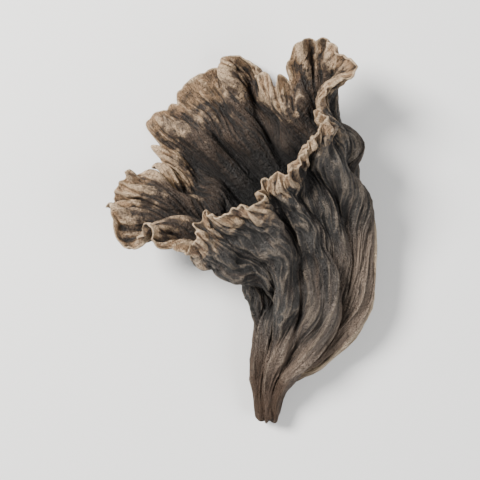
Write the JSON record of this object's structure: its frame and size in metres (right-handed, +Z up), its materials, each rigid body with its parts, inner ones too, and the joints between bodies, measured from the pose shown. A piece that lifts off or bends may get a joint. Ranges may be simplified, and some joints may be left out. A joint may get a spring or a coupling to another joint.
{
  "type": "dried black trumpet mushroom",
  "caption": "Dried black trumpet mushroom lying on its side: a thin furrowed funnel with a ruffled mouth that tapers to a closed stem.",
  "frame": {"origin": "on the surface that the mushroom lies on, under the middle of its bounding box", "axes": "+Z up from that surface, +Y along the mushroom from its foot towards its mouth, +X to the right of it"},
  "size_m": [0.0192, 0.028, 0.0096],
  "materials": {
    "flesh": "dry, dull, finely wrinkled"
  },
  "bodies": {
    "root": {"mushroom": "flesh"}
  },
  "joints": []
}
